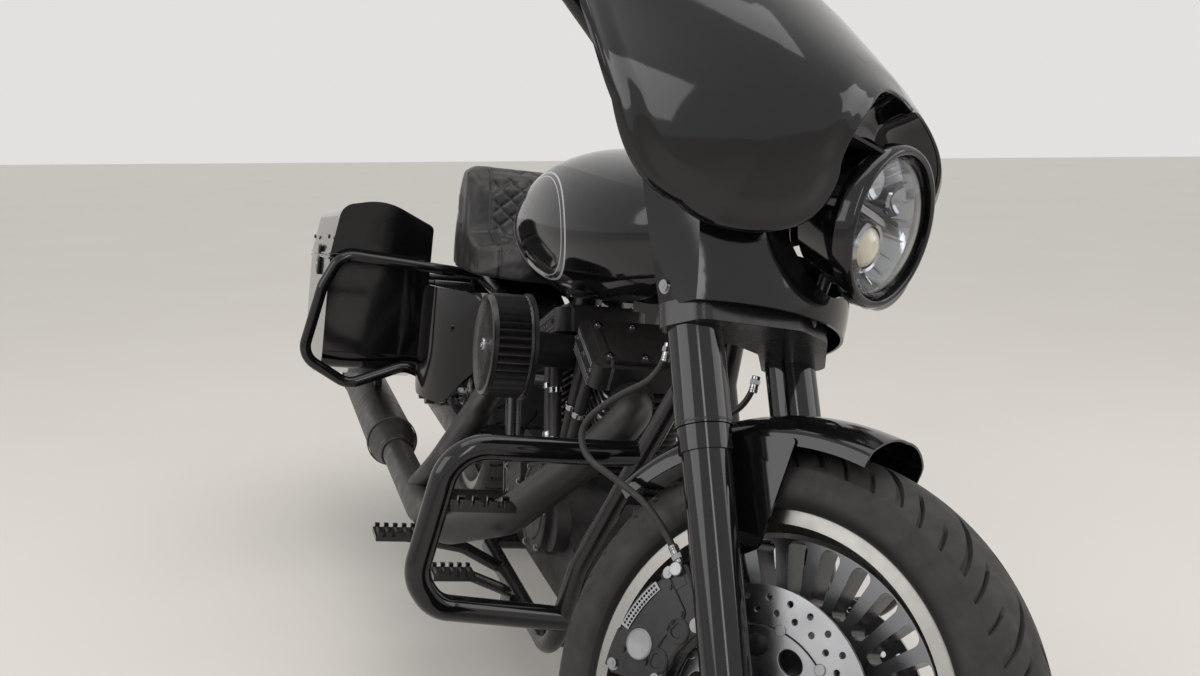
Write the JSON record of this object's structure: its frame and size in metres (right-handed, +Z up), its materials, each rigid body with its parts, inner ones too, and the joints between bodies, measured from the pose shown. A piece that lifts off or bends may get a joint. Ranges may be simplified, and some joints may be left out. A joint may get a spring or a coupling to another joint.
{
  "type": "touring cruiser motorcycle",
  "caption": "Touring cruiser motorcycle with a fork-mounted fairing, hard saddlebags and an air-cooled V-twin, leaning on its side stand with the steering on its left stop.",
  "frame": {"origin": "on the level ground, at the middle of the bounding box of the parked machine", "axes": "+X forward along the machine, +Y to the rider's left, +Z straight up; the machine itself leans 7.25 degrees to its left and its front wheel is turned 36.5 degrees left"},
  "size_m": [2.3294, 1.009, 1.2973],
  "materials": {
    "gloss_black_paint": "deep gloss black lacquer",
    "satin_black_paint": "satin black powder coat",
    "engine_black": "satin black engine enamel with bare fin edges",
    "exhaust_black": "satin black heat-proof coating",
    "seat_leather": "black grained leather with a quilted step",
    "tyre_rubber": "black tyre rubber",
    "black_rubber": "black rubber",
    "machined_aluminium": "machined aluminium with black-painted recesses",
    "brake_steel": "ground steel rotors and a dark pulley",
    "black_plastic": "matt black moulding",
    "clear_lens": "clear polycarbonate lens",
    "tinted_screen": "dark tinted polycarbonate",
    "red_lens": "red and smoked lamp lenses"
  },
  "bodies": {
    "chassis": {"frame_tubes": "satin_black_paint", "swingarm": "satin_black_paint", "rear_caliper": "satin_black_paint", "rear_shocks": "satin_black_paint", "rear_fender": "gloss_black_paint", "rear_lamps": "red_lens", "crankcase": "engine_black", "engine_cylinders": "engine_black", "primary_cover": "engine_black", "air_filter": "black_plastic", "exhaust_pipes": "exhaust_black", "mufflers": "exhaust_black", "fuel_tank": "gloss_black_paint", "seat": "seat_leather", "side_covers": "gloss_black_paint", "bag_case_right": "gloss_black_paint", "bag_case_left": "gloss_black_paint", "bag_guards": "satin_black_paint", "engine_guard": "satin_black_paint", "foot_controls": "machined_aluminium", "drive_belt": "black_rubber", "oil_cooler": "machined_aluminium"},
    "steering": {"triple_clamps": "satin_black_paint", "fork_covers": "satin_black_paint", "fork_sliders": "satin_black_paint", "front_fender": "gloss_black_paint", "front_calipers": "satin_black_paint", "brake_hoses": "black_rubber", "headlight": "satin_black_paint", "headlight_lens": "clear_lens", "fork_nacelle": "gloss_black_paint", "fairing_shell": "gloss_black_paint", "fairing_dash": "black_plastic", "windshield": "tinted_screen", "handlebar": "satin_black_paint", "hand_controls": "black_rubber"},
    "front_wheel": {"front_tyre": "tyre_rubber", "front_rim": "machined_aluminium", "front_discs": "brake_steel"},
    "rear_wheel": {"rear_tyre": "tyre_rubber", "rear_rim": "machined_aluminium", "rear_pulley_disc": "brake_steel"},
    "side_stand": {"side_stand": "satin_black_paint"},
    "lid_right": {"bag_lid_right": "gloss_black_paint"},
    "lid_left": {"bag_lid_left": "gloss_black_paint"}
  },
  "joints": [
    {"name": "steering", "type": "hinge", "parent": "chassis", "child": "steering", "pos_m": [0.68872, 0.03666, 0.72868], "axis": [-0.4299, 0.1134, 0.8957], "range_deg": [-73, 0]},
    {"name": "front_wheel_spin", "type": "hinge", "parent": "steering", "child": "front_wheel", "pos_m": [0.88176, -0.0246, 0.30427], "axis": [-0.538, 0.7645, -0.3551], "continuous": true},
    {"name": "rear_wheel_spin", "type": "hinge", "parent": "chassis", "child": "rear_wheel", "pos_m": [-0.7334, -0.01735, 0.31749], "axis": [-0.0012, 0.992, -0.1262], "continuous": true},
    {"name": "side_stand_fold", "type": "hinge", "parent": "chassis", "child": "side_stand", "pos_m": [0.27459, 0.14567, 0.09974], "axis": [0.0978, 0.5545, 0.8264], "range_deg": [0, 105]},
    {"name": "right_lid", "type": "hinge", "parent": "chassis", "child": "lid_right", "pos_m": [-0.58001, -0.21353, 0.67569], "axis": [-0.995, -0.0138, -0.0992], "range_deg": [0, 60]},
    {"name": "left_lid", "type": "hinge", "parent": "chassis", "child": "lid_left", "pos_m": [-0.58058, 0.26263, 0.61512], "axis": [0.995, 0.0138, 0.0992], "range_deg": [0, 60]}
  ]
}
